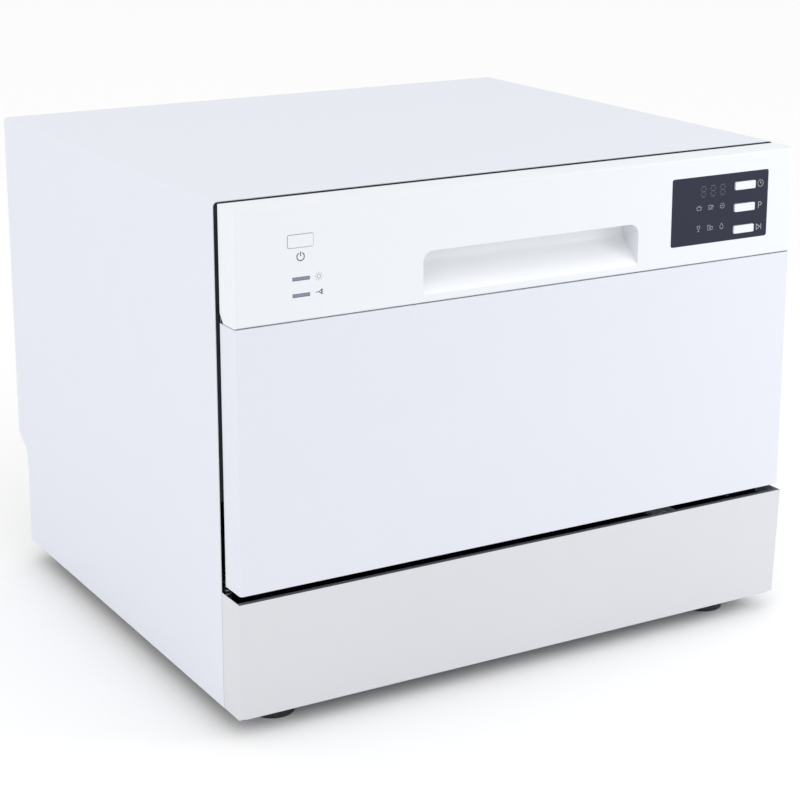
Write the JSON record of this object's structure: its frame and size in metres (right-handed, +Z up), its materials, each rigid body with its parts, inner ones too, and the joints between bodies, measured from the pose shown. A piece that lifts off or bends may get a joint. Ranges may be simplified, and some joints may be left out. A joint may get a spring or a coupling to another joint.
{
  "type": "countertop dishwasher",
  "caption": "Compact countertop dishwasher with a drop-down front door, control fascia, rolling wire rack, spray arm and rear water ports.",
  "frame": {"origin": "centre of the footprint at the level of the counter", "axes": "+X right as seen from the front, -Y out of the door, +Z up"},
  "size_m": [0.55, 0.5, 0.438],
  "materials": {
    "white_paint": "satin powder coat",
    "fascia_plastic": "satin moulded",
    "kick_paint": "satin powder coat",
    "zinc_steel": "zinc plated",
    "stainless": "brushed stainless",
    "dark_plastic": "moulded, matte",
    "grey_plastic": "moulded, matte",
    "pale_plastic": "moulded, matte",
    "clamp_plastic": "moulded, matte",
    "black_rubber": "matte",
    "grey_rubber": "matte",
    "window_acrylic": "gloss",
    "lens_plastic": "satin",
    "board_green": "coated board",
    "cap_blue": "moulded, matte",
    "coated_wire": "nylon coated",
    "felt": "felt"
  },
  "bodies": {
    "cabinet": {"outer_wrap": "white_paint", "rear_panel": "zinc_steel", "base_frame": "dark_plastic", "kick_plate": "kick_paint", "feet": "black_rubber", "front_frame": "zinc_steel", "tub": "stainless", "tub_sides": "stainless", "door_seal": "black_rubber", "rack_rails": "stainless", "sump": "pale_plastic", "filter_plate": "stainless", "spray_hub": "grey_plastic", "heater": "zinc_steel", "wash_pump": "dark_plastic", "drain_pump": "dark_plastic", "hoses": "grey_rubber", "drain_outlet": "grey_plastic", "inlet_valve": "pale_plastic", "air_breather": "pale_plastic", "cable_gland": "dark_plastic", "sound_mat": "felt", "power_box": "pale_plastic", "latch_strike": "zinc_steel", "harness_clamp": "clamp_plastic", "hinge_brackets": "zinc_steel", "door_springs": "zinc_steel", "cabinet_screws": "zinc_steel"},
    "door": {"door_panel": "white_paint", "control_fascia": "fascia_plastic", "door_liner": "stainless", "display_window": "window_acrylic", "indicator_lenses": "lens_plastic", "control_board": "board_green", "dispenser_body": "grey_plastic", "latch_housing": "dark_plastic", "hinge_arms": "zinc_steel", "door_screws": "zinc_steel"},
    "power_button": {"power_button": "fascia_plastic"},
    "delay_button": {"delay_button": "fascia_plastic"},
    "program_button": {"program_button": "fascia_plastic"},
    "start_button": {"start_button": "fascia_plastic"},
    "latch_pawl": {"latch_pawl": "pale_plastic"},
    "dispenser_lid": {"dispenser_lid": "grey_plastic"},
    "dispenser_latch": {"dispenser_latch": "dark_plastic"},
    "rinse_cap": {"rinse_cap": "cap_blue"},
    "rack": {"dish_rack": "coated_wire", "rack_sides": "coated_wire", "rack_ends": "coated_wire", "plate_tines": "coated_wire", "cutlery_basket": "grey_plastic", "basket_walls": "grey_plastic"},
    "cup_shelf": {"cup_shelf": "coated_wire"},
    "wheel_front_left": {"wheel_front_left": "grey_plastic"},
    "wheel_front_right": {"wheel_front_right": "grey_plastic"},
    "wheel_rear_left": {"wheel_rear_left": "grey_plastic"},
    "wheel_rear_right": {"wheel_rear_right": "grey_plastic"},
    "spray_arm": {"spray_arm": "grey_plastic"},
    "micro_filter": {"micro_filter": "grey_plastic"},
    "float": {"float_dome": "pale_plastic"}
  },
  "joints": [
    {"name": "door_hinge", "type": "hinge", "parent": "cabinet", "child": "door", "pos_m": [0, -0.225, 0.148], "axis": [1, 0, 0], "range_deg": [0, 90], "deforming": ["door_springs"]},
    {"name": "rack_slide", "type": "slide", "parent": "cabinet", "child": "rack", "axis": [0, -1, 0], "range_m": [0, 0.1102]},
    {"name": "wheel_front_left_spin", "type": "hinge", "parent": "rack", "child": "wheel_front_left", "pos_m": [-0.233, -0.06, 0.194], "axis": [1, 0, 0], "range_deg": [0, 831.3]},
    {"name": "wheel_front_right_spin", "type": "hinge", "parent": "rack", "child": "wheel_front_right", "pos_m": [0.233, -0.06, 0.194], "axis": [1, 0, 0], "range_deg": [0, 831.3]},
    {"name": "wheel_rear_left_spin", "type": "hinge", "parent": "rack", "child": "wheel_rear_left", "pos_m": [-0.233, 0.13, 0.194], "axis": [1, 0, 0], "range_deg": [0, 831.3]},
    {"name": "wheel_rear_right_spin", "type": "hinge", "parent": "rack", "child": "wheel_rear_right", "pos_m": [0.233, 0.13, 0.194], "axis": [1, 0, 0], "range_deg": [0, 831.3]},
    {"name": "power_button_push", "type": "slide", "parent": "door", "child": "power_button", "axis": [0, 1, 0], "range_m": [0, 0.001], "stiffness_N_per_m": 400},
    {"name": "delay_button_push", "type": "slide", "parent": "door", "child": "delay_button", "axis": [0, 1, 0], "range_m": [0, 0.001], "stiffness_N_per_m": 400},
    {"name": "program_button_push", "type": "slide", "parent": "door", "child": "program_button", "axis": [0, 1, 0], "range_m": [0, 0.001], "stiffness_N_per_m": 400},
    {"name": "start_button_push", "type": "slide", "parent": "door", "child": "start_button", "axis": [0, 1, 0], "range_m": [0, 0.001], "stiffness_N_per_m": 400},
    {"name": "latch_pawl_tip", "type": "hinge", "parent": "door", "child": "latch_pawl", "pos_m": [0, -0.2399, 0.424], "axis": [1, 0, 0], "range_deg": [0, 12], "stiffness_Nm_per_rad": 0.05},
    {"name": "dispenser_lid_slide", "type": "slide", "parent": "door", "child": "dispenser_lid", "axis": [0, 0, 1], "range_m": [0, 0.05]},
    {"name": "dispenser_latch_push", "type": "slide", "parent": "door", "child": "dispenser_latch", "axis": [0, -1, 0], "range_m": [0, 0.003], "stiffness_N_per_m": 400},
    {"name": "rinse_cap_twist", "type": "hinge", "parent": "door", "child": "rinse_cap", "pos_m": [0.042, -0.2105, 0.256], "axis": [0, 1, 0], "range_deg": [0, 90]},
    {"name": "cup_shelf_fold", "type": "hinge", "parent": "rack", "child": "cup_shelf", "pos_m": [-0.206, 0.035, 0.30575], "axis": [0, -1, 0], "range_deg": [0, 85]},
    {"name": "spray_arm_spin", "type": "hinge", "parent": "cabinet", "child": "spray_arm", "pos_m": [0, 0.005, 0.174], "axis": [0, 0, 1], "continuous": true},
    {"name": "micro_filter_twist", "type": "hinge", "parent": "cabinet", "child": "micro_filter", "pos_m": [0.06, 0.005, 0.16], "axis": [0, 0, 1], "range_deg": [0, 60]},
    {"name": "float_rise", "type": "slide", "parent": "cabinet", "child": "float", "axis": [0, 0, 1], "range_m": [0, 0.008]}
  ],
  "couplings": [
    {"joint": "rack_slide", "follows": "door_hinge", "m_per_rad": 0.070028},
    {"joint": "wheel_front_left_spin", "follows": "door_hinge", "ratio": 9.2142},
    {"joint": "wheel_front_right_spin", "follows": "door_hinge", "ratio": 9.2142},
    {"joint": "wheel_rear_left_spin", "follows": "door_hinge", "ratio": 9.2142},
    {"joint": "wheel_rear_right_spin", "follows": "door_hinge", "ratio": 9.2142}
  ]
}
